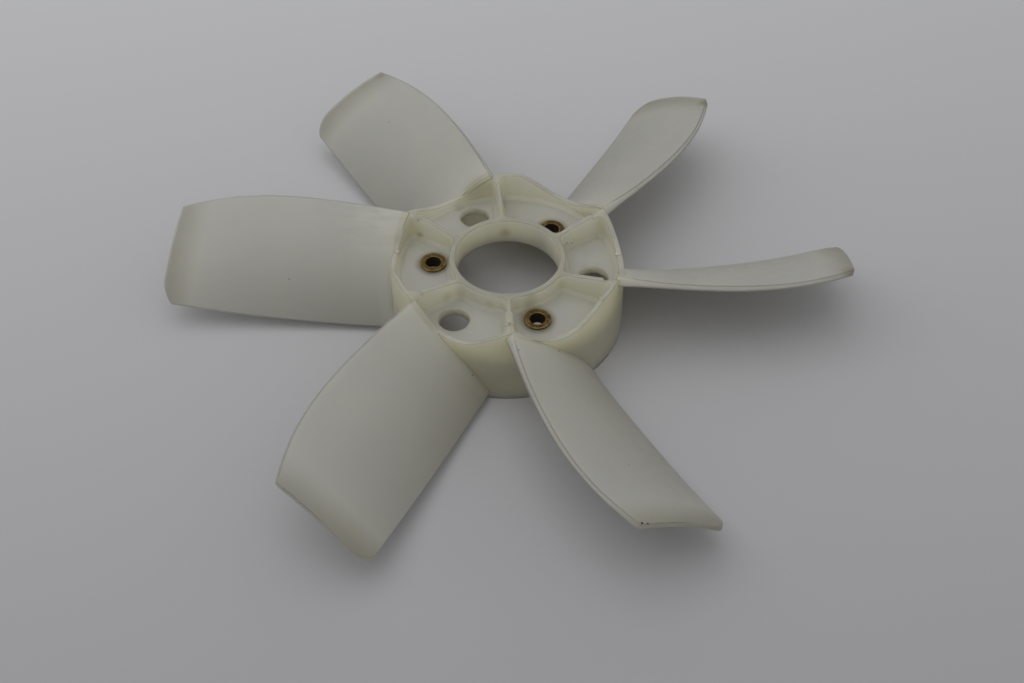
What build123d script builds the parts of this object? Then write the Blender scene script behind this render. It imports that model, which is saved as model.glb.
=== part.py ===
from build123d import *

import os
from dataclasses import dataclass
from math import cos, radians, sin, sqrt, tan

# Axial cooling-fan impeller: one nylon moulding with three flanged brass bushes.
#
# Frame: the fan's axis is Z and its open front faces +Z. The origin is on the axis, in the
# rear face of the web, which seats on the driving flange. Lengths are in millimetres, angles
# in degrees, and azimuths run counter-clockwise from +X when looking down on the front.

# ---------------------------------------------------------------- fan layout
SWEEP_DIAMETER = 381.0  # circle swept by the outermost blade corners
SYMMETRY = 3  # the fan repeats every third of a turn: one pair of blades
SECTOR = 360.0 / SYMMETRY
RIB_AZIMUTHS = (31.0, 95.5)  # the two ribs of one sector
BLADE_LAG = 27.0  # from a blade's high root corner to its stacking axis
BLADE_AZIMUTHS = (30.8, 98.1)  # high root corners of the two blades of one sector

# ---------------------------------------------------------------- hub
HUB_REAR_RADIUS = 64.5  # outside of the hub at its rear edge
HUB_DRAFT = 1.8  # moulding draft of the outer wall
HUB_WALL = 3.3
REAR_DEPTH = 27.5  # rear face of the web down to the hub's rear edge
WEB_THICKNESS = 5.0
REAR_CHAMFER = 3.0  # inside corner behind the web
BORE_RADIUS = 28.5  # central locating bore
RING_WALL = 3.0
RING_HEIGHT = 15.0  # above the rear face of the web
RIM_HEIGHT = 21.0  # crests of the hub's front edge, above the same face

# ---------------------------------------------------------------- front pockets
POCKET_DRAFT = 1.5
RIB_ROOT_THICKNESS = 3.2
RIB_FLARE = 4.0  # plan fillet where a rib meets the ring
POCKET_CORNER = 4.0  # plan fillet where a rib meets the hub wall
POCKET_CHAMFER = 2.2  # floor of a pocket into its walls

# ---------------------------------------------------------------- scallops of the front edge
FLANK_ANGLE = 29.5
SCALLOP_RADIUS = 30.0  # round floor of a scallop
CREST_RADIUS = 4.0  # round shoulders between scallops


@dataclass(frozen=True)
class Scallop:
    """One smooth dip in the hub's front edge."""

    azimuth: float
    floor: float  # height of the lowest point above the web's rear face


SCALLOPS = (Scallop(azimuth=57.0, floor=10.4), Scallop(azimuth=123.8, floor=8.8))

# ---------------------------------------------------------------- bolt holes and bushes
BOLT_CIRCLE_RADIUS = 41.0
BOLT_AZIMUTH = 52.7
BUSH_BORE_RADIUS = 4.2
BUSH_WALL = 1.6
BUSH_FLANGE_RADIUS = 7.2
BUSH_FLANGE_THICKNESS = 1.0
SEAT_CLEARANCE = 0.4  # spot face in the web around a bush flange
SEAT_HEIGHT = 3.0

# ---------------------------------------------------------------- plain holes
HOLE_CIRCLE_RADIUS = 47.0
HOLE_AZIMUTH = 113.4
HOLE_RADIUS = 8.3

# ---------------------------------------------------------------- thick outer end of one rib
PAD_AZIMUTH = RIB_AZIMUTHS[0] + 2 * SECTOR
PAD_INNER_RADIUS = 44.0
PAD_WIDTH = 4.4


@dataclass(frozen=True)
class Station:
    """One upright section of a blade, square to its stacking axis."""

    share: float  # of the way along the stacking axis, from the loft's inner to its outer end
    high_offset: float  # plan distance from the stacking axis to the high edge
    high_z: float
    low_z: float
    camber: float  # rise of the middle above the chord, square to it
    thickness: float


# ---------------------------------------------------------------- blades
LOW_OFFSET = 17.0  # the low edge runs parallel to the stacking axis
ROOT_DEPTH = 12.5  # the loft starts this far inside the hub's rear radius
TIP_SPARE = 1.5  # and runs this far past the swept circle before it is trimmed
TIP_SLANT = 8.5  # the tip is cut straight, its high corner this far short of the swept radius
TIP_OFFSET_HIGH = 30.8
HIGH_EDGE_SWEEP = 20.0  # plan angle of the high edge near the tip
HIGH_CORNER_RADIUS = 5.0
LOW_CORNER_RADIUS = 9.0
STATIONS = (
    Station(share=0.0, high_offset=27.5, high_z=19.3, low_z=-25.0, camber=5.0, thickness=6.0),
    Station(share=0.08571, high_offset=30.5, high_z=19.3, low_z=-24.9, camber=5.0, thickness=4.4),
    Station(share=0.1857, high_offset=33.6, high_z=19.2, low_z=-24.6, camber=5.0, thickness=3.3),
    Station(share=0.3714, high_offset=38.0, high_z=19.1, low_z=-23.0, camber=4.8, thickness=3.0),
    Station(share=0.5714, high_offset=40.0, high_z=19.1, low_z=-20.2, camber=4.4, thickness=2.8),
    Station(share=0.7714, high_offset=37.2, high_z=18.5, low_z=-16.3, camber=4.0, thickness=2.6),
    Station(share=1.0, high_offset=26.8, high_z=16.6, low_z=-10.2, camber=3.4, thickness=2.4),
)


def sector_azimuths(first):
    """Azimuths of one feature and its copies in the other sectors."""
    return [first + turn * SECTOR for turn in range(SYMMETRY)]


def polar(radius, azimuth, z=0.0):
    """Point at a radius and azimuth about the fan's axis."""
    return Vector(radius * cos(radians(azimuth)), radius * sin(radians(azimuth)), z)


def wall_radius(z):
    """Outside radius of the drafted hub wall at a height."""
    return HUB_REAR_RADIUS - (z + REAR_DEPTH) * tan(radians(HUB_DRAFT))


def revolved(points):
    """Solid of revolution about the fan's axis, from (radius, z) corners."""
    outline = Polyline(*[(radius, 0, z) for radius, z in points], close=True)
    return revolve(make_face(outline), axis=Axis.Z)


# ---------------------------------------------------------------- hub
def hub_blank():
    """Hub before its front is hollowed: ring, sloping rib tops and outer wall."""
    ring_outside = BORE_RADIUS + RING_WALL
    wall_inside = wall_radius(RIM_HEIGHT) - HUB_WALL
    blank = revolved(
        [
            (BORE_RADIUS, 0),
            (BORE_RADIUS, RING_HEIGHT),
            (ring_outside, RING_HEIGHT),
            (wall_inside, RIM_HEIGHT),
            (wall_radius(RIM_HEIGHT), RIM_HEIGHT),
            (wall_radius(-REAR_DEPTH), -REAR_DEPTH),
            (wall_radius(-REAR_DEPTH) - HUB_WALL, -REAR_DEPTH),
            (wall_radius(0) - HUB_WALL, 0),
        ]
    )
    corner = blank.edges().filter_by(GeomType.CIRCLE).sort_by_distance((wall_radius(0) - HUB_WALL, 0, 0))[0]
    return chamfer(corner, REAR_CHAMFER)


def pocket_faces():
    """Plan outlines of the six front pockets, at the front face of the web."""
    ring_outside = BORE_RADIUS + RING_WALL + (RING_HEIGHT - WEB_THICKNESS) * tan(radians(POCKET_DRAFT))
    wall_inside = wall_radius(WEB_THICKNESS) - HUB_WALL
    plan = Circle(wall_inside) - Circle(ring_outside)
    for first in RIB_AZIMUTHS:
        for azimuth in sector_azimuths(first):
            rib = Pos(wall_inside / 2, 0) * Rectangle(wall_inside + HUB_WALL, RIB_ROOT_THICKNESS)
            plan -= Rot(0, 0, azimuth) * rib
    outlines = []
    for face in plan.faces():
        inner_first = sorted(face.vertices(), key=lambda vertex: Vector(vertex.X, vertex.Y).length)
        flared = face.fillet_2d(RIB_FLARE, inner_first[:2])
        inner_first = sorted(flared.vertices(), key=lambda vertex: Vector(vertex.X, vertex.Y).length)
        outlines.append(flared.fillet_2d(POCKET_CORNER, inner_first[-2:]))
    return outlines


def pocket(outline):
    """One drafted pocket with a chamfered floor, as the solid to cut away."""
    body = extrude(Pos(0, 0, WEB_THICKNESS) * outline, RIM_HEIGHT, taper=-POCKET_DRAFT)
    return chamfer(body.edges().group_by(Axis.Z)[0], POCKET_CHAMFER)


def rib_top(radius):
    """Height of the sloping rib tops, from the ring up to the hub wall."""
    ring_outside = BORE_RADIUS + RING_WALL
    wall_inside = wall_radius(RIM_HEIGHT) - HUB_WALL
    along = (radius - ring_outside) / (wall_inside - ring_outside)
    return RING_HEIGHT + along * (RIM_HEIGHT - RING_HEIGHT)


def rib_pad():
    """Thick outer end of one rib, level with its top."""
    outer = wall_radius(RIM_HEIGHT) - HUB_WALL
    floor = WEB_THICKNESS / 2
    outline = Polyline(
        (PAD_INNER_RADIUS, 0, floor),
        (PAD_INNER_RADIUS, 0, rib_top(PAD_INNER_RADIUS)),
        (outer, 0, RIM_HEIGHT),
        (outer + HUB_WALL / 2, 0, RIM_HEIGHT),
        (outer + HUB_WALL / 2, 0, floor),
        close=True,
    )
    return Rot(0, 0, PAD_AZIMUTH) * extrude(make_face(outline), PAD_WIDTH / 2, both=True)


def scallop(shape):
    """Cutter for one dip: a valley with a round floor and shoulders, run out along a radius."""
    slope = tan(radians(FLANK_ANGLE))
    apex = shape.floor - SCALLOP_RADIUS * (1 / cos(radians(FLANK_ANGLE)) - 1)
    half_width = (RIM_HEIGHT - apex) / slope
    shoulder = half_width + CREST_RADIUS
    top = RIM_HEIGHT + HUB_WALL
    corners = [(shoulder, RIM_HEIGHT), (half_width, RIM_HEIGHT), (0, apex)]
    mirrored = [(-across, height) for across, height in reversed(corners[:2])]
    valley = make_face(Polyline((shoulder, top), *corners, *mirrored, (-shoulder, top), close=True))
    lowest_first = valley.vertices().sort_by(Axis.Y)
    rounded = fillet(lowest_first[0], SCALLOP_RADIUS)
    crests = [v for v in rounded.vertices() if abs(abs(v.X) - half_width) < 0.01]
    rounded = fillet(crests, CREST_RADIUS)
    outward = polar(1, shape.azimuth)
    start = (wall_radius(RIM_HEIGHT) - 2 * HUB_WALL) * cos(radians(SECTOR / 4))
    plane = Plane(origin=outward * start, x_dir=polar(1, shape.azimuth + 90), z_dir=outward)
    return extrude(plane * rounded, HUB_REAR_RADIUS)


def web_cutters(circle_radius, azimuth, radius, bottom, top):
    """Three round cutters standing in the web, one in each sector."""
    drill = Cylinder(radius, top - bottom, align=(Align.CENTER, Align.CENTER, Align.MIN))
    return [Pos(polar(circle_radius, turn, bottom)) * drill for turn in sector_azimuths(azimuth)]


def hub():
    """Ring, web, ribs and wavy outer wall, still without blades."""
    body = hub_blank()
    for outline in pocket_faces():
        body -= pocket(outline)
    body += rib_pad()
    for shape in SCALLOPS:
        for azimuth in sector_azimuths(shape.azimuth):
            body -= scallop(Scallop(azimuth, shape.floor))
    sleeve_radius = BUSH_BORE_RADIUS + BUSH_WALL
    seat_radius = BUSH_FLANGE_RADIUS + SEAT_CLEARANCE
    seat_top = WEB_THICKNESS + SEAT_HEIGHT
    below = -WEB_THICKNESS
    above = RIM_HEIGHT + WEB_THICKNESS
    cutters = web_cutters(BOLT_CIRCLE_RADIUS, BOLT_AZIMUTH, sleeve_radius, below, above)
    cutters += web_cutters(BOLT_CIRCLE_RADIUS, BOLT_AZIMUTH, seat_radius, WEB_THICKNESS, seat_top)
    cutters += web_cutters(HOLE_CIRCLE_RADIUS, HOLE_AZIMUTH, HOLE_RADIUS, below, above)
    for cutter in cutters:
        body -= cutter
    return body


# ---------------------------------------------------------------- blades
def station_distance(station):
    """Distance of a section from the fan's axis, along the stacking axis."""
    inner = HUB_REAR_RADIUS - ROOT_DEPTH
    outer = SWEEP_DIAMETER / 2 + TIP_SPARE
    return inner + station.share * (outer - inner)


def blade_section(station):
    """Closed cambered section with flat edges, standing square to the blade's length."""
    high = Vector(-station.high_offset, station.high_z)
    low = Vector(LOW_OFFSET, station.low_z)
    along = (low - high).normalized()
    normal = Vector(-along.Y, along.X)
    half = normal * (station.thickness / 2)
    middle = (high + low) * 0.5 + normal * station.camber
    outline = [
        ThreePointArc(high + half, middle + half, low + half),
        Line(low + half, low - half),
        ThreePointArc(low - half, middle - half, high - half),
        Line(high - half, high + half),
    ]
    plane = Plane(origin=(station_distance(station), 0, 0), x_dir=(0, 1, 0), z_dir=(1, 0, 0))
    return plane * make_face(outline)


def tip_trim():
    """Prism that keeps a blade up to its slanting tip and round corners."""
    reach = STATIONS[-1].thickness / 2
    tip_distance_low = sqrt((SWEEP_DIAMETER / 2) ** 2 - LOW_OFFSET**2)
    tip_distance_high = SWEEP_DIAMETER / 2 - TIP_SLANT
    inboard = station_distance(STATIONS[0]) - STATIONS[0].thickness
    sweep_back = (tip_distance_high - inboard) * tan(radians(HIGH_EDGE_SWEEP))
    high_corner = (tip_distance_high, -TIP_OFFSET_HIGH - reach)
    low_corner = (tip_distance_low, LOW_OFFSET + reach)
    outline = make_face(
        Polyline(
            (inboard, high_corner[1] - sweep_back),
            high_corner,
            low_corner,
            (inboard, low_corner[1]),
            close=True,
        )
    )
    corners = outline.vertices().sort_by(Axis.X)
    outline = fillet(corners[-1], LOW_CORNER_RADIUS)
    high = [v for v in outline.vertices() if abs(v.X - high_corner[0]) + abs(v.Y - high_corner[1]) < 0.01]
    outline = fillet(high, HIGH_CORNER_RADIUS)
    return extrude(outline, 2 * REAR_DEPTH, both=True)


def blade():
    """One blade along +X, from inside the hub wall to its trimmed tip."""
    body = loft([blade_section(station) for station in STATIONS])
    return body & tip_trim()


def hub_core():
    """Everything inside the middle of the hub wall, kept clear of the blade roots."""
    top = RIM_HEIGHT + REAR_DEPTH
    bottom = -2 * REAR_DEPTH
    return revolved(
        [
            (0, bottom),
            (wall_radius(bottom) - HUB_WALL / 2, bottom),
            (wall_radius(top) - HUB_WALL / 2, top),
            (0, top),
        ]
    )


def fan_moulding():
    """The whole nylon moulding."""
    body = hub()
    single = blade()
    core = hub_core()
    for first in BLADE_AZIMUTHS:
        for azimuth in sector_azimuths(first):
            body += Rot(0, 0, azimuth + BLADE_LAG) * single - core
    return body


# ---------------------------------------------------------------- bushes
def mounting_bush(azimuth):
    """Flanged brass bush: sleeve through the web, flange on its front face."""
    sleeve_radius = BUSH_BORE_RADIUS + BUSH_WALL
    flange_top = WEB_THICKNESS + BUSH_FLANGE_THICKNESS
    body = revolved(
        [
            (BUSH_BORE_RADIUS, 0),
            (sleeve_radius, 0),
            (sleeve_radius, WEB_THICKNESS),
            (BUSH_FLANGE_RADIUS, WEB_THICKNESS),
            (BUSH_FLANGE_RADIUS, flange_top),
            (BUSH_BORE_RADIUS, flange_top),
        ]
    )
    return Pos(polar(BOLT_CIRCLE_RADIUS, azimuth)) * body


def main():
    """Write one STEP file for each piece."""
    os.makedirs("parts", exist_ok=True)
    export_step(fan_moulding(), "parts/fan_moulding.step")
    for number, azimuth in enumerate(sector_azimuths(BOLT_AZIMUTH), start=1):
        export_step(mounting_bush(azimuth), f"parts/mounting_bush_{number}.step")


main()
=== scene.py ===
"""Axial cooling-fan impeller in aged natural nylon with dark brass bushes, in a plain studio.

The fan lies on the floor on its hub's rear edge, with its open front up. Everything is in
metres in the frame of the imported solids: the axis is Z and the origin is in the rear face
of the web. Azimuths run counter-clockwise from +X, looking down on the front.
"""

from __future__ import annotations

import logging
import math
from dataclasses import dataclass, field
from enum import Enum
from typing import Any

import bmesh
import bpy
import numpy as np
from mathutils import Matrix, Vector
from mathutils.bvhtree import BVHTree

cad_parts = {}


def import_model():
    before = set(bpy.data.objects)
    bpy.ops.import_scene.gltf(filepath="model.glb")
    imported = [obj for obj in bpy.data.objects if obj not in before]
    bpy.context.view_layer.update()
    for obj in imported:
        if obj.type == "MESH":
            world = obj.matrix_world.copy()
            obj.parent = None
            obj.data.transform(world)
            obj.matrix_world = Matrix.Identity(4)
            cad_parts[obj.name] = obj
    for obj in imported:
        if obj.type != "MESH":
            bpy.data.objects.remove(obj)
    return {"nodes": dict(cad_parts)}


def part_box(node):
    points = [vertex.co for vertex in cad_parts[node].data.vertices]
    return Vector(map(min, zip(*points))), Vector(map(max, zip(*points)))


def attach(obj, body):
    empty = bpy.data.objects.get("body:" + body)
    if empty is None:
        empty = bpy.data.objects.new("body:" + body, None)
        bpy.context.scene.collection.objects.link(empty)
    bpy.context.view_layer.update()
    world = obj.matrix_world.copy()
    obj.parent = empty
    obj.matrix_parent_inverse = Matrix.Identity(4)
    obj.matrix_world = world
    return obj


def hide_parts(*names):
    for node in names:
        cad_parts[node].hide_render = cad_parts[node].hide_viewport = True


log = logging.getLogger("fan")
MM = 0.001
BUSHES = 3
BUSH_CIRCLE = 41.0  # radius in millimetres
BUSH_AZIMUTH = 52.7  # degrees, of the first bush
Tree = bpy.types.NodeTree
Socket = bpy.types.NodeSocket


class BushCoat(Enum):
    """Material slots of a bush."""

    BRASS = 0
    GREASE_AND_SHADE = 1


# ---------------------------------------------------------------- small helpers
def srgb(code: str) -> tuple[float, float, float, float]:
    """Linear colour of an sRGB hex value.

    Args:
        code: six hex digits, with or without a leading mark.

    Returns:
        Red, green, blue in linear light, and an alpha of one.
    """
    digits = code.lstrip("#")
    parts = [int(digits[i : i + 2], 16) / 255 for i in (0, 2, 4)]
    linear = [p / 12.92 if p <= 0.04045 else ((p + 0.055) / 1.055) ** 2.4 for p in parts]
    return linear[0], linear[1], linear[2], 1.0


def add_node(
    tree: Tree, kind: str, settings: dict[str | int, Any], links: dict[str | int, Socket]
) -> bpy.types.Node:
    """Add one shader node.

    Args:
        tree: node tree that gets the node.
        kind: Blender's name of the node type.
        settings: values by property name, or by socket name or number.
        links: source sockets by the name or number of the input they feed.

    Returns:
        The new node.
    """
    node = tree.nodes.new(kind)
    for name, value in settings.items():
        if isinstance(name, str) and name in node.bl_rna.properties:
            setattr(node, name, value)
        else:
            node.inputs[name].default_value = value
    for name, source in links.items():
        tree.links.new(source, node.inputs[name])
    return node


def new_material(name: str) -> tuple[bpy.types.Material, Tree]:
    """Make an empty node material.

    Args:
        name: the material's name.

    Returns:
        The material and its cleared node tree.
    """
    material = bpy.data.materials.new(name)
    material.use_nodes = True
    material.node_tree.nodes.clear()
    return material, material.node_tree


def mesh_object(name: str, points: np.ndarray, faces: list[tuple[int, ...]] | np.ndarray) -> bpy.types.Object:
    """Make a mesh object at the origin from arrays.

    Args:
        name: the object's name.
        points: (n, 3) coordinates in metres.
        faces: vertex numbers of each face.

    Returns:
        The new object, linked to the scene and shaded smooth.
    """
    mesh = bpy.data.meshes.new(name)
    rows = faces.tolist() if isinstance(faces, np.ndarray) else faces
    mesh.from_pydata(points.tolist(), [], rows)
    mesh.shade_smooth()
    mesh.update()
    piece = bpy.data.objects.new(name, mesh)
    bpy.context.scene.collection.objects.link(piece)
    return piece


def ring_quads(rings: int, sides: int, closed: bool = False) -> np.ndarray:
    """Faces between rings of points, each ring with the same number of points.

    Args:
        rings: number of rings.
        sides: number of points in a ring.
        closed: whether the last ring joins the first.

    Returns:
        (n, 4) point numbers, with the faces in the order of the rings.
    """
    ring, side = np.meshgrid(np.arange(rings if closed else rings - 1), np.arange(sides), indexing="ij")
    next_ring, next_side = (ring + 1) % rings, (side + 1) % sides
    corners = ((ring, side), (ring, next_side), (next_ring, next_side), (next_ring, side))
    return np.stack([row * sides + place for row, place in corners], -1).reshape(-1, 4)


def squared_off(value: np.ndarray, power: float) -> np.ndarray:
    """Signed power that squares off a sine or cosine."""
    return np.sign(value) * np.abs(value) ** power


def around(radius: float, azimuth: float, z: float = 0.0) -> Vector:
    """Point in metres at a radius in millimetres and an azimuth in degrees about the axis."""
    angle = math.radians(azimuth)
    return Vector((radius * math.cos(angle), radius * math.sin(angle), z)) * MM


def bush_centre(number: int) -> Vector:
    """Point on a bush's axis in the web's rear face; the first bush is number one."""
    return around(BUSH_CIRCLE, BUSH_AZIMUTH + 360.0 / BUSHES * (number - 1))


@dataclass(frozen=True)
class Mark:
    """One small place on the fan, with its size and strength."""

    radius: float  # millimetres from the axis
    azimuth: float  # degrees
    height: float  # millimetres above the web's rear face
    size: float  # millimetres
    strength: float = 1.0

    @property
    def centre(self) -> Vector:
        """Centre of the mark in metres."""
        return around(self.radius, self.azimuth, self.height)


@dataclass(frozen=True)
class Ramp:
    """A ramp from one value to another over a span, for a map-range node."""

    start: float
    end: float
    low: float = 0.0  # value at the start and before it
    high: float = 1.0  # value at the end and past it
    smooth: bool = False

    def settings(self, unit: float = 1.0) -> dict[str | int, Any]:
        """Settings of the node.

        Args:
            unit: factor on the ends of the span, such as a millimetre.

        Returns:
            The kind of ramp by name, and its four values by socket number.
        """
        values = {1: self.start * unit, 2: self.end * unit, 3: self.low, 4: self.high}
        return {"interpolation_type": "SMOOTHSTEP" if self.smooth else "LINEAR", **values}


# oil and road dust in the hub and at the blade roots, one broad mark of painted shade low on the hub's outer
# wall, and last oil and dust on three blade tips
OIL_AND_SHADE_MARKS = (
    Mark(28.5, 93.0, 6.5, 5.0, 0.45),
    Mark(59.0, 106.0, 13.0, 14.0, 0.35),
    Mark(58.0, 118.5, 5.0, 5.0, 0.40),
    Mark(55.0, 152.5, 8.0, 3.5, 0.45),
    Mark(56.0, 152.0, 18.0, 2.5, 0.5),
    Mark(31.6, 253.0, 9.0, 3.5, 0.40),
    Mark(40.5, 217.5, 9.0, 4.5, 0.35),
    Mark(45.0, 20.0, 9.0, 9.0, 0.22),
    Mark(60.0, 340.0, 10.0, 9.0, 0.22),
    # painted shade: darker towards the foot of the hub's outer wall, near the floor
    Mark(64.0, 262.0, -20.0, 26.0, 0.30),
    Mark(182.5, 355.4, 18.2, 6.5, 0.95),
    Mark(181.0, 48.0, 18.4, 6.0, 0.85),
    Mark(182.5, 116.2, 17.8, 5.0, 0.55),
)
# specks that stick to the plastic
GRIT = (
    Mark(65.0, 294.0, 4.5, 0.85),
    Mark(73.4, 274.5, 20.4, 0.7),
    Mark(65.2, 253.9, -10.5, 0.7),
    Mark(63.1, 200.3, 17.8, 0.6),
    Mark(63.0, 203.4, 18.7, 0.5),
    Mark(55.9, 152.3, 18.1, 0.7),
    Mark(55.1, 152.6, 7.5, 0.6),
    Mark(120.8, 179.0, -4.3, 0.7),
    Mark(147.4, 119.8, 8.3, 0.6),
    Mark(145.7, 293.0, 7.3, 0.6),
    Mark(183.7, 288.8, 18.1, 1.3),
    Mark(184.3, 289.6, 17.4, 1.0),
    Mark(37.6, 28.7, 8.4, 0.7),
    Mark(40.8, 28.6, 7.0, 0.6),
    Mark(42.2, 29.0, 8.5, 0.6),
    Mark(68.8, 271.9, 19.2, 0.5),
    Mark(67.6, 273.6, 20.7, 0.5),
)
# pale raised marks on the hub's rim
RIM_PADS = (Mark(61.0, 172.3, 12.0, 3.0), Mark(61.0, 8.0, 11.0, 3.0), Mark(61.2, 322.5, 21.0, 3.0))


# ---------------------------------------------------------------- finishes
@dataclass(frozen=True)
class AgedNylon:
    """Natural nylon, injection moulded, yellowed by heat and stained by oil.

    It is milky and lets light in several millimetres deep, so thin blades glow softly, and painted
    shade makes them dark and olive towards their edges; its skin is satin, with a fine moulded grain.
    """

    name: str = "nylon_natural_moulded"
    colour: str = "#C9C7BA"
    # painted light: the hub's paler colour stands in for light that comes through its translucent walls
    hub_painted_light: str = "#E6E4D2"
    # the hub's walls: the plastic's own yellowing, and painted shade that leaves them duller than the hub's
    # floors
    wall_yellow_and_shade: str = "#DCD6B6"
    flow_colour: str = "#F2EFD4"
    stain_and_shade: str = "#6E5F36"
    # darker lines along the edges, fainter low down
    edge_line_colour: str = "#6A6A58"
    # greyer colour on the level tops of the hub's walls and ribs
    level_top_grey: str = "#72735F"
    # painted shade: the dark olive of the blades' edges, tips and lower parts
    painted_edge_shade: str = "#403F2E"
    # light goes deeper here than the few millimetres of real nylon, so that the blades glow evenly
    scatter_mm: float = 30.0
    clear: float = 0.4
    # sizes of the patterns, and how deep the grain is
    blotch_mm: float = 34.0
    smear_mm: float = 7.0
    flow_mm: float = 3.6
    flow_stretch: tuple[float, float, float] = (0.15, 1.0, 1.0)
    grain_mm: float = 0.8
    grain_depth_mm: float = 0.05
    # roundings that soften the edges, and that find the band of painted shade beside them
    edge_mm: float = 1.0
    painted_edge_shade_mm: float = 2.3
    # where the melt left its marks: strongest within the core, gone at the mark's size
    flow_start: Mark = Mark(79.0, 160.0, 16.0, 24.0)
    flow_core_mm: float = 4.0
    # spans in millimetres from the axis
    hub_ramp: Ramp = Ramp(64.6, 65.6, 1.0, 0.0, smooth=True)
    root_painted_light_ramp: Ramp = Ramp(64.6, 90.6, 0.45, 0.0)
    outside_ramp: Ramp = Ramp(58.6, 61.6, 0.45, 1.0)
    blade_ramp: Ramp = Ramp(66.6, 72.6)
    # painted shade: darkening towards the blade tips
    tip_shade_ramp: Ramp = Ramp(166.0, 191.0, 0.0, 0.62, smooth=True)
    # spans in millimetres above the web's rear face
    edge_line_height_ramp: Ramp = Ramp(6.0, 10.0, 0.3, 1.0)
    high_ramp: Ramp = Ramp(9.0, 13.0)
    level_top_ramp: Ramp = Ramp(15.0, 21.0, 0.52, 0.34)
    # painted shade: darkening low down on the blades
    foot_shade_ramp: Ramp = Ramp(12.0, -22.0, 0.0, 0.22)
    # span in millimetres from a bush's axis
    halo_ramp: Ramp = Ramp(7.0, 11.5, 0.75, 0.0, smooth=True)
    # spans of a cosine: how far a rounding turns a face, and how level a face lies
    edge_ramp: Ramp = Ramp(0.99, 0.84, 0.0, 0.75)
    # painted shade: the band beside the blades' edges
    painted_edge_shade_ramp: Ramp = Ramp(0.998, 0.84, 0.0, 0.6)
    wall_ramp: Ramp = Ramp(0.25, 0.9, 1.0, 0.25)
    level_ramp: Ramp = Ramp(0.6, 0.95)
    # spans of a noise
    sheen_ramp: Ramp = Ramp(0.3, 0.7, 0.42, 0.58)
    flow_ramp: Ramp = Ramp(0.45, 0.68, 0.0, 0.6)
    uneven_ramp: Ramp = Ramp(0.35, 0.7, 0.0, 0.16)
    ragged_ramp: Ramp = Ramp(0.3, 0.65, 0.55, 1.0)

    def material(self) -> bpy.types.Material:
        """Build the material."""
        material, tree = new_material(self.name)
        place = add_node(tree, "ShaderNodeTexCoord", {}, {}).outputs["Object"]
        soft = add_node(tree, "ShaderNodeBevel", {"samples": 6, "Radius": self.edge_mm * MM}, {}).outputs[0]
        facing = add_node(tree, "ShaderNodeNewGeometry", {}, {}).outputs["Normal"]
        tint = self._tint(tree, place, facing)
        tint = self._darkened_edge_lines(tree, place, soft, facing, tint)
        tint = self._flow_marks(tree, place, tint)
        tint = self._painted_edge_shades(tree, place, facing, tint)
        grain = add_node(
            tree, "ShaderNodeTexNoise", {"Scale": 1 / (self.grain_mm * MM), "Detail": 3.0}, {"Vector": place}
        )
        bump = add_node(
            tree,
            "ShaderNodeBump",
            {"Strength": 0.25, "Distance": self.grain_depth_mm * MM},
            {"Height": grain.outputs[0], "Normal": soft},
        )
        smear = add_node(
            tree, "ShaderNodeTexNoise", {"Scale": 1 / (self.smear_mm * MM), "Detail": 5.0}, {"Vector": place}
        )
        sheen = add_node(tree, "ShaderNodeMapRange", self.sheen_ramp.settings(), {0: smear.outputs[0]})
        shader = add_node(
            tree,
            "ShaderNodeBsdfPrincipled",
            {
                "IOR": 1.53,
                "Subsurface Weight": 1.0,
                "Subsurface Radius": (1.0, 0.95, 0.75),
                "Subsurface Scale": self.scatter_mm * MM,
                "Specular IOR Level": 0.4,
                "Transmission Weight": self.clear,
            },
            {"Base Color": tint, "Normal": bump.outputs[0], "Roughness": sheen.outputs[0]},
        )
        add_node(tree, "ShaderNodeOutputMaterial", {}, {"Surface": shader.outputs[0]})
        return material

    def _darkened_edge_lines(self, tree: Tree, place: Socket, soft: Socket, facing: Socket, tint: Socket) -> Socket:
        """Darken thin lines along the edges, less low down than on the rim.

        Args:
            tree: the material's nodes.
            place: position on the piece.
            soft: the surface's normal as the rounding turns it.
            facing: the surface's own normal.
            tint: the colour so far.

        Returns:
            The socket that gives the colour with darker edges.
        """
        turned = add_node(tree, "ShaderNodeVectorMath", {"operation": "DOT_PRODUCT"}, {0: soft, 1: facing})
        edge = add_node(tree, "ShaderNodeMapRange", self.edge_ramp.settings(), {0: turned.outputs["Value"]})
        height = add_node(tree, "ShaderNodeSeparateXYZ", {}, {0: place}).outputs[2]
        reach = add_node(tree, "ShaderNodeMapRange", self.edge_line_height_ramp.settings(MM), {0: height})
        factors = {0: edge.outputs[0], 1: reach.outputs[0]}
        share = add_node(tree, "ShaderNodeMath", {"operation": "MULTIPLY"}, factors)
        return add_node(
            tree,
            "ShaderNodeMix",
            {"data_type": "RGBA", 7: srgb(self.edge_line_colour)},
            {0: share.outputs[0], 6: tint},
        ).outputs[2]

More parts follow.
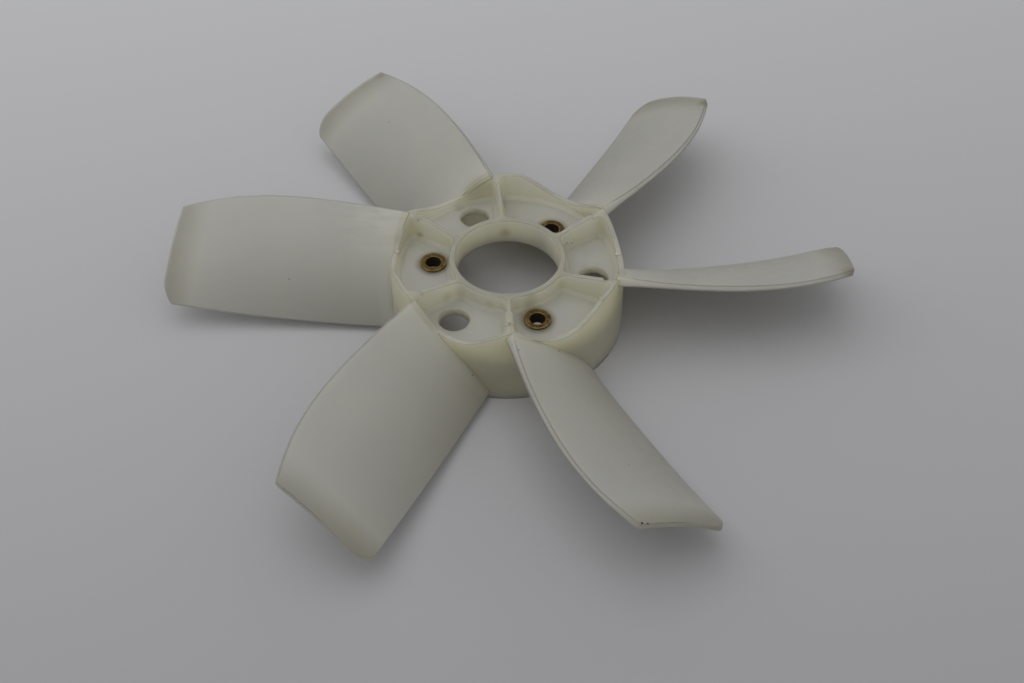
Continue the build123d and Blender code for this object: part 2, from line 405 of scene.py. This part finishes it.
    def _painted_edge_shades(self, tree: Tree, place: Socket, facing: Socket, tint: Socket) -> Socket:
        """Paint shade on the blades at their edges, at their tips and low down, where less light comes back.

        Args:
            tree: the material's nodes.
            place: position on the piece.
            facing: the surface's own normal.
            tint: the colour so far.

        Returns:
            The socket that gives the darkened colour.
        """
        wide = add_node(tree, "ShaderNodeBevel", {"samples": 8, "Radius": self.painted_edge_shade_mm * MM}, {})
        pair = {0: wide.outputs[0], 1: facing}
        turned = add_node(tree, "ShaderNodeVectorMath", {"operation": "DOT_PRODUCT"}, pair).outputs["Value"]
        near = add_node(tree, "ShaderNodeMapRange", self.painted_edge_shade_ramp.settings(), {0: turned})
        radius = self._radius(tree, place)
        blade = add_node(tree, "ShaderNodeMapRange", self.blade_ramp.settings(MM), {0: radius}).outputs[0]
        tip = add_node(tree, "ShaderNodeMapRange", self.tip_shade_ramp.settings(MM), {0: radius}).outputs[0]
        height = add_node(tree, "ShaderNodeSeparateXYZ", {}, {0: place}).outputs[2]
        low = add_node(tree, "ShaderNodeMapRange", self.foot_shade_ramp.settings(MM), {0: height})
        # painted shade on the blades only: the tip band, the band beside the edges and the darkening low down
        share = tip
        for part in (near, low):
            factors = {0: part.outputs[0], 1: blade}
            band = add_node(tree, "ShaderNodeMath", {"operation": "MULTIPLY"}, factors).outputs[0]
            share = add_node(tree, "ShaderNodeMath", {"operation": "MAXIMUM"}, {0: share, 1: band}).outputs[0]
        return add_node(
            tree,
            "ShaderNodeMix",
            {"data_type": "RGBA", 7: srgb(self.painted_edge_shade)},
            {0: share, 6: tint},
        ).outputs[2]

    def _flow_marks(self, tree: Tree, place: Socket, tint: Socket) -> Socket:
        """Pale streaks where the melt ran out of the hub into a blade, drawn along the blade.

        Args:
            tree: the material's nodes.
            place: position on the piece.
            tint: the colour so far.

        Returns:
            The socket that gives the streaked colour.
        """
        stretch = {"operation": "MULTIPLY", 1: self.flow_stretch}
        along = add_node(tree, "ShaderNodeVectorMath", stretch, {0: place})
        streak = add_node(
            tree,
            "ShaderNodeTexNoise",
            {"Scale": 1 / (self.flow_mm * MM), "Detail": 3.0, "Distortion": 0.6},
            {"Vector": along.outputs[0]},
        )
        pale = add_node(tree, "ShaderNodeMapRange", self.flow_ramp.settings(), {0: streak.outputs[0]})
        start = self.flow_start
        gap = add_node(tree, "ShaderNodeVectorMath", {"operation": "DISTANCE", 1: start.centre}, {0: place})
        spread = Ramp(self.flow_core_mm, start.size, 1.0, 0.0, smooth=True)
        near = add_node(tree, "ShaderNodeMapRange", spread.settings(MM), {0: gap.outputs["Value"]})
        factors = {0: pale.outputs[0], 1: near.outputs[0]}
        share = add_node(tree, "ShaderNodeMath", {"operation": "MULTIPLY"}, factors)
        return add_node(
            tree,
            "ShaderNodeMix",
            {"data_type": "RGBA", 7: srgb(self.flow_colour)},
            {0: share.outputs[0], 6: tint},
        ).outputs[2]

    def _flat(self, tree: Tree, place: Socket) -> Socket:
        """Place of a point across the fan, with its height left out."""
        drop_height = {"operation": "MULTIPLY", 1: (1.0, 1.0, 0.0)}
        return add_node(tree, "ShaderNodeVectorMath", drop_height, {0: place}).outputs[0]

    def _radius(self, tree: Tree, place: Socket) -> Socket:
        """Distance of a point from the fan's axis."""
        flat = self._flat(tree, place)
        return add_node(tree, "ShaderNodeVectorMath", {"operation": "LENGTH"}, {0: flat}).outputs["Value"]

    def _tint(self, tree: Tree, place: Socket, facing: Socket) -> Socket:
        """Colour of the plastic: clean on the blades, paler on the hub by painted light, yellow and partly
        painted shade on the hub's walls, brown round the bushes, greyer on the hub's level tops.

        Args:
            tree: the material's nodes.
            place: position on the piece.
            facing: the surface's own normal.

        Returns:
            The socket that gives the colour.
        """
        rise = add_node(tree, "ShaderNodeSeparateXYZ", {}, {0: facing}).outputs[2]
        steep = add_node(tree, "ShaderNodeMath", {"operation": "ABSOLUTE"}, {0: rise}).outputs[0]
        radius = self._radius(tree, place)
        hub = add_node(tree, "ShaderNodeMapRange", self.hub_ramp.settings(MM), {0: radius}).outputs[0]
        blotch = add_node(
            tree,
            "ShaderNodeTexNoise",
            {"Scale": 1 / (self.blotch_mm * MM), "Detail": 5.0, "Roughness": 0.55},
            {"Vector": place},
        ).outputs[0]
        body = self._painted_light_and_yellowing(tree, radius, hub, steep, blotch)
        stained_and_shaded = self._stained_and_shaded(tree, place, blotch, body)
        return self._greyed_level_tops(tree, place, hub, steep, stained_and_shaded)

    def _painted_light_and_yellowing(self, tree: Tree, radius: Socket, hub: Socket, steep: Socket, blotch: Socket) -> Socket:
        """Clean plastic with painted light that makes the hub and the blade roots paler, and the hub's walls
        unevenly yellowed, most on the outer one: partly the plastic's own yellowing, partly painted shade
        that leaves them duller than the hub's floors.

        Args:
            tree: the material's nodes.
            radius: distance from the axis.
            hub: one on the hub and nought on the blades.
            steep: size of the normal's rise: nought on a wall, one on a level face.
            blotch: the broad noise.

        Returns:
            The socket that gives the colour.
        """
        # painted light: the hub, and the blade roots as it fades out, take the paler colour
        inner = add_node(tree, "ShaderNodeMapRange", self.root_painted_light_ramp.settings(MM), {0: radius})
        pale = add_node(tree, "ShaderNodeMath", {"operation": "MAXIMUM"}, {0: hub, 1: inner.outputs[0]})
        base = add_node(
            tree,
            "ShaderNodeMix",
            {"data_type": "RGBA", 6: srgb(self.colour), 7: srgb(self.hub_painted_light)},
            {0: pale.outputs[0]},
        )
        # the walls, most the outer one, take the yellowed colour: real yellowing and painted shade
        wall = add_node(tree, "ShaderNodeMapRange", self.wall_ramp.settings(), {0: steep}).outputs[0]
        outside = add_node(tree, "ShaderNodeMapRange", self.outside_ramp.settings(MM), {0: radius}).outputs[0]
        product = {"operation": "MULTIPLY"}
        aged_wall = add_node(tree, "ShaderNodeMath", product, {0: outside, 1: wall}).outputs[0]
        yellow = add_node(tree, "ShaderNodeMath", product, {0: hub, 1: aged_wall}).outputs[0]
        uneven = add_node(tree, "ShaderNodeMapRange", self.uneven_ramp.settings(), {0: blotch}).outputs[0]
        clamped_sum = {"operation": "ADD", "use_clamp": True}
        aged = add_node(tree, "ShaderNodeMath", clamped_sum, {0: yellow, 1: uneven})
        return add_node(
            tree,
            "ShaderNodeMix",
            {"data_type": "RGBA", 7: srgb(self.wall_yellow_and_shade)},
            {0: aged.outputs[0], 6: base.outputs[2]},
        ).outputs[2]

    def _stained_and_shaded(self, tree: Tree, place: Socket, blotch: Socket, tint: Socket) -> Socket:
        """Ragged oil stains round the bushes and at each of the oil marks, and one ragged patch of painted
        shade low on the hub's outer wall.

        Args:
            tree: the material's nodes.
            place: position on the piece.
            blotch: the broad noise.
            tint: the colour so far.

        Returns:
            The socket that gives the stained colour.
        """
        flat = self._flat(tree, place)
        spots = [(flat, bush_centre(number), self.halo_ramp) for number in range(1, BUSHES + 1)]
        for mark in OIL_AND_SHADE_MARKS:
            spots.append((place, mark.centre, Ramp(0.0, mark.size, mark.strength, 0.0, smooth=True)))
        rings = []
        for point, centre, ramp in spots:
            gap = add_node(tree, "ShaderNodeVectorMath", {"operation": "DISTANCE", 1: centre}, {0: point})
            ring = add_node(tree, "ShaderNodeMapRange", ramp.settings(MM), {0: gap.outputs["Value"]})
            rings.append(ring.outputs[0])
        halo = rings[0]
        for ring in rings[1:]:
            halo = add_node(tree, "ShaderNodeMath", {"operation": "MAXIMUM"}, {0: halo, 1: ring}).outputs[0]
        ragged = add_node(tree, "ShaderNodeMapRange", self.ragged_ramp.settings(), {0: blotch})
        share = add_node(tree, "ShaderNodeMath", {"operation": "MULTIPLY"}, {0: halo, 1: ragged.outputs[0]})
        return add_node(
            tree,
            "ShaderNodeMix",
            {"data_type": "RGBA", 7: srgb(self.stain_and_shade)},
            {0: share.outputs[0], 6: tint},
        ).outputs[2]

    def _greyed_level_tops(self, tree: Tree, place: Socket, hub: Socket, steep: Socket, tint: Socket) -> Socket:
        """Greyer colour on the level tops of the hub's walls and ribs.

        Args:
            tree: the material's nodes.
            place: position on the piece.
            hub: one on the hub and nought on the blades.
            steep: size of the normal's rise.
            tint: the colour so far.

        Returns:
            The socket that gives the greyed colour.
        """
        height = add_node(tree, "ShaderNodeSeparateXYZ", {}, {0: place}).outputs[2]
        high = add_node(tree, "ShaderNodeMapRange", self.high_ramp.settings(MM), {0: height})
        level_top_fade = add_node(tree, "ShaderNodeMapRange", self.level_top_ramp.settings(MM), {0: height})
        level = add_node(tree, "ShaderNodeMapRange", self.level_ramp.settings(), {0: steep})
        land = hub
        for part in (high, level_top_fade, level):
            factors = {0: land, 1: part.outputs[0]}
            land = add_node(tree, "ShaderNodeMath", {"operation": "MULTIPLY"}, factors).outputs[0]
        return add_node(
            tree,
            "ShaderNodeMix",
            {"data_type": "RGBA", 7: srgb(self.level_top_grey)},
            {0: land, 6: tint},
        ).outputs[2]


@dataclass(frozen=True)
class DarkBrass:
    """Turned brass, browned with age: a dull warm metal, blotched dark where oil has dried on it."""

    name: str = "brass_turned_darkened"
    colour: str = "#8A744D"
    tarnish: str = "#4A3718"
    blotch_mm: float = 2.2
    turning_mm: float = 0.35
    turning_depth_mm: float = 0.03
    # spans of a noise
    tarnish_ramp: Ramp = Ramp(0.35, 0.65, 0.05, 0.7)
    dull_ramp: Ramp = Ramp(0.3, 0.7, 0.38, 0.62)

    def material(self) -> bpy.types.Material:
        """Build the material."""
        material, tree = new_material(self.name)
        place = add_node(tree, "ShaderNodeTexCoord", {}, {}).outputs["Object"]
        blotch = add_node(
            tree, "ShaderNodeTexNoise", {"Scale": 1 / (self.blotch_mm * MM), "Detail": 4.0}, {"Vector": place}
        )
        dark = add_node(tree, "ShaderNodeMapRange", self.tarnish_ramp.settings(), {0: blotch.outputs[0]})
        tint = add_node(
            tree,
            "ShaderNodeMix",
            {"data_type": "RGBA", 6: srgb(self.colour), 7: srgb(self.tarnish)},
            {0: dark.outputs[0]},
        )
        dull = add_node(tree, "ShaderNodeMapRange", self.dull_ramp.settings(), {0: blotch.outputs[0]})
        lines = {"Scale": 1 / (self.turning_mm * MM), "Detail": 2.0}
        fine = add_node(tree, "ShaderNodeTexNoise", lines, {"Vector": place})
        bump = add_node(
            tree,
            "ShaderNodeBump",
            {"Strength": 0.3, "Distance": self.turning_depth_mm * MM},
            {"Height": fine.outputs[0]},
        )
        shader = add_node(
            tree,
            "ShaderNodeBsdfPrincipled",
            {"Metallic": 1.0},
            {"Base Color": tint.outputs[2], "Roughness": dull.outputs[0], "Normal": bump.outputs[0]},
        )
        add_node(tree, "ShaderNodeOutputMaterial", {}, {"Surface": shader.outputs[0]})
        return material


@dataclass(frozen=True)
class DriedGrease:
    """Grease and road dust, baked on: nearly black, rough and without gloss."""

    name: str = "grease_dried"
    colour: str = "#120C06"
    light: str = "#2A1F12"
    crumb_mm: float = 0.5
    crumb_depth_mm: float = 0.1

    def material(self) -> bpy.types.Material:
        """Build the material."""
        material, tree = new_material(self.name)
        place = add_node(tree, "ShaderNodeTexCoord", {}, {}).outputs["Object"]
        crumb = add_node(
            tree, "ShaderNodeTexNoise", {"Scale": 1 / (self.crumb_mm * MM), "Detail": 4.0}, {"Vector": place}
        )
        tint = add_node(
            tree,
            "ShaderNodeMix",
            {"data_type": "RGBA", 6: srgb(self.colour), 7: srgb(self.light)},
            {0: crumb.outputs[0]},
        )
        bump = add_node(
            tree,
            "ShaderNodeBump",
            {"Strength": 0.6, "Distance": self.crumb_depth_mm * MM},
            {"Height": crumb.outputs[0]},
        )
        shader = add_node(
            tree,
            "ShaderNodeBsdfPrincipled",
            {"Roughness": 0.85, "Specular IOR Level": 0.25},
            {"Base Color": tint.outputs[2], "Normal": bump.outputs[0]},
        )
        add_node(tree, "ShaderNodeOutputMaterial", {}, {"Surface": shader.outputs[0]})
        return material


# ---------------------------------------------------------------- studio
@dataclass(frozen=True)
class Lamp:
    """One square soft lamp: its centre, the point it faces, its side in metres and its power."""

    name: str
    place: tuple[float, float, float]
    aim: tuple[float, float, float]
    size: float
    watts: float


@dataclass
class Studio:
    """A floor painted lighter towards its back, soft lamps and the camera, in metres and degrees."""

    floor_z: float
    # painted light: darker floor at the front, lighter at the back
    floor_near_painted_shade: str = "#A7A7AA"
    floor_far_painted_light: str = "#CFCFD1"
    floor_half: float = 3.0
    elevation: float = 45.8
    distance: float = 0.6741
    focal_px: float = 1190.0
    image_width_px: float = 1024.0
    sensor_mm: float = 36.0
    yaw: float = 0.22
    pitch: float = -1.45
    roll: float = 0.08
    # painted light: the floor grows lighter from its front to its back
    floor_painted_light_ramp: Ramp = Ramp(-0.25, 0.5)  # from the front of the floor to its back
    lamps: tuple[Lamp, ...] = (
        Lamp("overhead_softbox", (-0.32, -0.05, 1.35), (0.0, 0.1, 0.0), 1.5, 6.5),
        Lamp("left_card", (-1.5, 0.1, 0.9), (0.0, 0.0, 0.0), 1.2, 3.0),
    )
    world_strength: float = 0.48
    clip_end: float = 20.0

    def build(self) -> None:
        """Make the camera, the floor and the lamps."""
        self._camera()
        self._floor()
        self._lamps()

    def _camera(self) -> None:
        """Place the camera on a sphere about the hub's foot, then turn it a little."""
        high = math.radians(self.elevation)
        axes = {"forward": Vector((0, math.cos(high), -math.sin(high))), "right": Vector((1, 0, 0))}
        axes["up"] = axes["right"].cross(axes["forward"])
        turns = ((self.yaw, "forward", "right"), (self.pitch, "forward", "up"), (self.roll, "right", "up"))
        for degrees, first, second in turns:
            cosine, sine = math.cos(math.radians(degrees)), math.sin(math.radians(degrees))
            one, other = axes[first].copy(), axes[second].copy()
            axes[first], axes[second] = one * cosine + other * sine, other * cosine - one * sine
        data = bpy.data.cameras.new("studio_camera")
        data.sensor_width = self.sensor_mm
        data.lens = self.focal_px / self.image_width_px * self.sensor_mm
        data.clip_end = self.clip_end
        camera = bpy.data.objects.new("studio_camera", data)
        bpy.context.scene.collection.objects.link(camera)
        turn = Matrix((axes["right"], axes["up"], -axes["forward"])).transposed().to_4x4()
        spot = Vector((0, -self.distance * math.cos(high), self.distance * math.sin(high) + self.floor_z))
        camera.matrix_world = Matrix.Translation(spot) @ turn
        bpy.context.scene.camera = camera

    def _floor(self) -> None:
        """Make one square sheet of pale paper under the fan, with painted light that makes it lighter towards
        the back.
        """
        corners = np.array([(-1, -1), (1, -1), (1, 1), (-1, 1)]) * self.floor_half
        points = np.column_stack([corners, np.full(4, self.floor_z)])
        floor = mesh_object("paper_floor", points, [(0, 1, 2, 3)])
        material, tree = new_material("paper_matt_painted_falloff")
        place = add_node(tree, "ShaderNodeTexCoord", {}, {}).outputs["Object"]
        split = add_node(tree, "ShaderNodeSeparateXYZ", {}, {0: place})
        back = add_node(tree, "ShaderNodeMapRange", self.floor_painted_light_ramp.settings(), {0: split.outputs[1]})
        shade = add_node(
            tree,
            "ShaderNodeMix",
            {"data_type": "RGBA", 6: srgb(self.floor_near_painted_shade), 7: srgb(self.floor_far_painted_light)},
            {0: back.outputs[0]},
        )
        shader = add_node(
            tree,
            "ShaderNodeBsdfPrincipled",
            {"Roughness": 0.9, "Specular IOR Level": 0.2},
            {"Base Color": shade.outputs[2]},
        )
        add_node(tree, "ShaderNodeOutputMaterial", {}, {"Surface": shader.outputs[0]})
        floor.data.materials.append(material)

    def _lamps(self) -> None:
        """Hang the soft lamps and light the rest from a plain white world."""
        for lamp in self.lamps:
            self._hang(lamp)
        world = bpy.data.worlds.new("studio_world")
        bpy.context.scene.world = world
        world.use_nodes = True
        world.node_tree.nodes["Background"].inputs[0].default_value = (1, 1, 1, 1)
        world.node_tree.nodes["Background"].inputs[1].default_value = self.world_strength

    def _hang(self, lamp: Lamp) -> None:
        """Hang one lamp."""
        data = bpy.data.lights.new(lamp.name, "AREA")
        data.energy = lamp.watts
        data.shape = "SQUARE"
        data.size = lamp.size
        hung = bpy.data.objects.new(lamp.name, data)
        bpy.context.scene.collection.objects.link(hung)
        place = Vector(lamp.place)
        hung.location = place
        hung.rotation_euler = (Vector(lamp.aim) - place).to_track_quat("-Z", "Y").to_euler()


# ---------------------------------------------------------------- moulding
@dataclass
class Moulding:
    """The nylon moulding: hub, web, ribs and six blades in one piece."""

    solid: bpy.types.Object
    sharp_angle: float = 28.0
    flat_angle: float = 0.02
    merge_mm: float = 0.002
    finish: AgedNylon = field(default_factory=AgedNylon)

    def build(self) -> bpy.types.Object:
        """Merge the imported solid's triangles, mark its sharp edges and dress it.

        Returns:
            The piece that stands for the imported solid.
        """
        mesh = self.solid.data.copy()
        mesh.name = "fan_in_nylon"
        work = bmesh.new()
        work.from_mesh(mesh)
        bmesh.ops.remove_doubles(work, verts=work.verts, dist=self.merge_mm * MM)
        limit = math.radians(self.flat_angle)
        bmesh.ops.dissolve_limit(work, angle_limit=limit, verts=work.verts, edges=work.edges)
        self._mark_edges(work)
        work.to_mesh(mesh)
        work.free()
        if "custom_normal" in mesh.attributes:
            mesh.attributes.remove(mesh.attributes["custom_normal"])
        mesh.shade_smooth()
        mesh.materials.clear()
        mesh.materials.append(self.finish.material())
        piece = bpy.data.objects.new("fan_in_nylon", mesh)
        bpy.context.scene.collection.objects.link(piece)
        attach(piece, "root")
        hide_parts("fan_moulding")
        return piece

    def _mark_edges(self, work: bmesh.types.BMesh) -> None:
        """Mark the edges that stay sharp; the finish softens them by its own rounding.

        Args:
            work: the merged mesh, changed in place.
        """
        limit = math.radians(self.sharp_angle)
        for edge in work.edges:
            if len(edge.link_faces) == 2 and edge.calc_face_angle(0.0) > limit:
                edge.smooth = False


@dataclass
class SurfaceBits:
    """Small things that sit on the moulding: grit, and the raised marks on the hub's rim."""

    carrier: bpy.types.Object
    # a dome: its points, its height as a share of its radius, and how far it sinks, as the same share
    sides: int = 10
    rings: int = 4
    flatness: float = 0.35
    sunk: float = 0.1
    # a pad: its points, its squareness, its half side across the rim in millimetres, the share of its
    # mark that it fills along the rim, and its half height in millimetres
    pad_sides: int = 24
    pad_power: float = 0.35
    pad_reach: float = 1.7
    pad_fill: float = 0.8
    pad_height: float = 0.3
    merge_mm: float = 0.001
    # heights in millimetres: pads are dropped on the rim from above, and rise no higher than the solid does
    above: float = 40.0
    highest: float = 21.28

    def build(self) -> list[bpy.types.Object]:
        """Seat and dress the grit and the rim marks.

        Returns:
            The new pieces.
        """
        view = bpy.context.evaluated_depsgraph_get()
        tree = BVHTree.FromObject(self.carrier, view)
        grit = self._domes("grit_specks", tree, GRIT)
        grit.data.materials.append(DriedGrease().material())
        pads = self._pads(tree)
        finish = AgedNylon(name="nylon_rim_marks", colour="#D8D8CC", scatter_mm=0.6)
        pads.data.materials.append(finish.material())
        for piece in (grit, pads):
            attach(piece, "root")
        return [grit, pads]

    def _domes(self, name: str, tree: BVHTree, marks: tuple[Mark, ...]) -> bpy.types.Object:
        """One low dome on the surface at each mark.

        A dome is a half ellipsoid: rings of points whose radius falls as the cosine of a
        latitude and whose height grows as its sine, closed by one point at the top and
        sunk a little into the surface.

        Args:
            name: the piece's name.
            tree: the carrier's surface.
            marks: places, with the diameter of each dome in millimetres.

        Returns:
            The new piece.
        """
        latitude = np.linspace(0, math.pi / 2, self.rings, endpoint=False)
        turn = np.linspace(0, 2 * math.pi, self.sides, endpoint=False)
        lat, lon = np.meshgrid(latitude, turn, indexing="ij")
        height = self.flatness * np.sin(lat) - self.sunk
        unit = np.stack([np.cos(lat) * np.cos(lon), np.cos(lat) * np.sin(lon), height], -1)
        unit = np.vstack([unit.reshape(-1, 3), [(0, 0, self.flatness - self.sunk)]])
        quads = ring_quads(self.rings, self.sides)
        top_ring = np.arange(self.sides)
        last = (self.rings - 1) * self.sides
        top = np.full(self.sides, len(unit) - 1)
        fan = np.stack([last + top_ring, last + (top_ring + 1) % self.sides, top], -1)
        seats = [tree.find_nearest(mark.centre) for mark in marks]
        turns = np.array([normal.to_track_quat("Z", "X").to_matrix() for _, normal, _, _ in seats])
        places = np.array([place for place, _, _, _ in seats])
        radii = np.array([mark.size * MM / 2 for mark in marks])
        points = np.einsum("nij,mj->nmi", turns, unit) * radii[:, None, None] + places[:, None, :]
        shift = np.arange(len(marks)) * len(unit)
        faces = [tuple(face) for base in shift for face in (quads + base).tolist() + (fan + base).tolist()]
        return mesh_object(name, points.reshape(-1, 3), faces)

    def _pads(self, tree: BVHTree) -> bpy.types.Object:
        """Small raised rectangles across the hub's rim.

        A pad is a superellipsoid: the sine and cosine of latitude and longitude raised to
        a small power, which gives a box with soft edges.

        Args:
            tree: the carrier's surface.

        Returns:
            The new piece.
        """
        count = self.pad_sides
        latitude = np.linspace(-math.pi / 2, math.pi / 2, count // 2 + 1)
        turn = np.linspace(0, 2 * math.pi, count, endpoint=False)
        lat, lon = np.meshgrid(latitude, turn, indexing="ij")
        waves = (np.cos(lat), np.sin(lat), np.cos(lon), np.sin(lon))
        wide, tall, east, north = (squared_off(wave, self.pad_power) for wave in waves)
        unit = np.stack([wide * east, wide * north, tall], -1).reshape(-1, 3)
        quads = ring_quads(count // 2 + 1, count)
        points, faces = [], []
        for number, mark in enumerate(RIM_PADS):
            above = around(mark.radius, mark.azimuth, self.above)
            place, normal, _, _ = tree.ray_cast(above, Vector((0, 0, -1)))
            outward = around(1.0, mark.azimuth).normalized()
            along = normal.cross(outward).normalized()
            across = along.cross(normal).normalized()
            half = np.array([self.pad_reach, mark.size / 2 * self.pad_fill, self.pad_height]) * MM
            axes = np.array([across, along, normal])
            placed = (unit * half) @ axes + np.array(place)
            over = max(0.0, placed[:, 2].max() - self.highest * MM)
            points.append(placed - (0.0, 0.0, over))
            faces += (quads + number * len(unit)).tolist()
        piece = mesh_object("rim_marks", np.vstack(points), faces)
        work = bmesh.new()
        work.from_mesh(piece.data)
        bmesh.ops.remove_doubles(work, verts=work.verts, dist=self.merge_mm * MM)
        bmesh.ops.recalc_face_normals(work, faces=work.faces)
        work.to_mesh(piece.data)
        work.free()
        return piece


@dataclass
class Bush:
    """One flanged brass bush: turned, with a ring of fine knurling pressed into its flange."""

    number: int
    # radii of the bore, the sleeve and the flange, and heights of the flange's two faces, in millimetres
    bore: float = 4.2
    sleeve: float = 5.8
    flange: float = 7.2
    web: float = 5.0
    top: float = 6.0
    # each broken edge is three points: a full step, this share of a step, and a full step
    break_edge: float = 0.25
    break_share: float = 0.3
    # the grease's near black, and its narrowing of the bore's foot, also stand in for the shade deep in the
    # bore
    # grease in the bore: its thickness at the foot, how many thicknesses it rises as it thins, and how
    # many rows of the profile it colours, counted from the last
    crust: float = 1.2
    crust_rise: float = 2.5
    grease_and_shade_rows: int = 3
    # the ring of knurling, the lip beside it, its row in the profile and where grease fills it
    knurl_inner: float = 5.1
    knurl_outer: float = 6.1
    knurl_lip: float = 0.1
    knurl_depth: float = 0.3
    knurl_row: int = 8
    trough: float = 0.7
    teeth: int = 26
    steps_per_tooth: int = 8
    sharp_angle: float = 40.0

    def build(self, brass: bpy.types.Material, grease: bpy.types.Material) -> bpy.types.Object:
        """Turn the bush's profile round its bore and press the knurling in.

        The surface is the profile carried round the bore: each profile point has a
        radius, a height and a share of the knurling, and the height drops by that share
        of the depth times a raised cosine that repeats once a tooth.

        Args:
            brass: finish of the metal.
            grease: finish of the bore, which dried grease covers, thickest at its foot; its near black also
                stands in for the shade deep in the bore.

        Returns:
            The new piece.
        """
        profile = self._profile()
        count = self.teeth * self.steps_per_tooth
        turn = np.linspace(0, 2 * math.pi, count, endpoint=False)
        press = 0.5 + 0.5 * np.cos(self.teeth * turn)
        radius = profile[:, 0][:, None]
        height = profile[:, 1][:, None] - profile[:, 2][:, None] * self.knurl_depth * press[None, :]
        points = np.stack([radius * np.cos(turn)[None, :], radius * np.sin(turn)[None, :], height], -1)
        points = points.reshape(-1, 3) * MM + np.array(bush_centre(self.number))
        piece = mesh_object(f"bush_{self.number}", points, ring_quads(len(profile), count, closed=True))
        piece.data.materials.append(brass)
        piece.data.materials.append(grease)
        slots = np.full((len(profile), count), BushCoat.BRASS.value, dtype=np.int32)
        # the bore's dried grease, near black, also stands in for the shade deep in the bore
        slots[-self.grease_and_shade_rows :] = BushCoat.GREASE_AND_SHADE.value
        slots[self.knurl_row, press > self.trough] = BushCoat.GREASE_AND_SHADE.value
        piece.data.polygons.foreach_set("material_index", slots.ravel())
        work = bmesh.new()
        work.from_mesh(piece.data)
        bmesh.ops.recalc_face_normals(work, faces=work.faces)
        for edge in work.edges:
            edge.smooth = edge.calc_face_angle(0.0) < math.radians(self.sharp_angle)
        work.to_mesh(piece.data)
        work.free()
        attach(piece, "root")
        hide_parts(f"mounting_bush_{self.number}")
        return piece

    def _profile(self) -> np.ndarray:
        """Section of the bush, from the foot of its bore outwards, up, over the flange and down the bore.

        Returns:
            Rows of radius and height in millimetres, and share of the knurling.
        """
        step = self.break_edge
        part = self.break_share * step
        return np.array(
            [
                (self.bore - self.crust, 0.0, 0),
                (self.sleeve, 0.0, 0),
                (self.sleeve, self.web, 0),
                (self.flange, self.web, 0),
                (self.flange, self.top - step, 0),
                (self.flange - part, self.top - part, 0),
                (self.flange - step, self.top, 0),
                (self.knurl_outer + self.knurl_lip, self.top, 0),
                (self.knurl_outer, self.top, 1),
                (self.knurl_inner, self.top, 1),
                (self.knurl_inner - self.knurl_lip, self.top, 0),
                (self.bore + step, self.top, 0),
                (self.bore + part, self.top - part, 0),
                (self.bore, self.top - step, 0),
                (self.bore, self.crust_rise * self.crust, 0),
                (self.bore - self.crust, self.crust, 0),
            ]
        )


def main() -> None:
    """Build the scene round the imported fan."""
    logging.basicConfig(level=logging.INFO, format="%(name)s: %(message)s")
    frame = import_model()
    bpy.context.view_layer.update()
    low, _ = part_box("fan_moulding")
    bpy.context.scene.view_settings.view_transform = "Standard"
    Studio(floor_z=low.z).build()
    moulding = Moulding(frame["nodes"]["fan_moulding"]).build()
    log.info("moulding: %d faces", len(moulding.data.polygons))
    # the bore's finish: dried grease, whose near black also stands in for the shade deep in the bore
    brass, grease = DarkBrass().material(), DriedGrease(name="grease_and_shade_in_bore").material()
    for number in range(1, BUSHES + 1):
        piece = Bush(number).build(brass, grease)
        log.info("%s: %d faces", piece.name, len(piece.data.polygons))
    bpy.context.view_layer.update()
    for piece in SurfaceBits(moulding).build():
        log.info("%s: %d faces", piece.name, len(piece.data.polygons))
    bpy.context.view_layer.update()


if __name__ == "__main__":
    main()
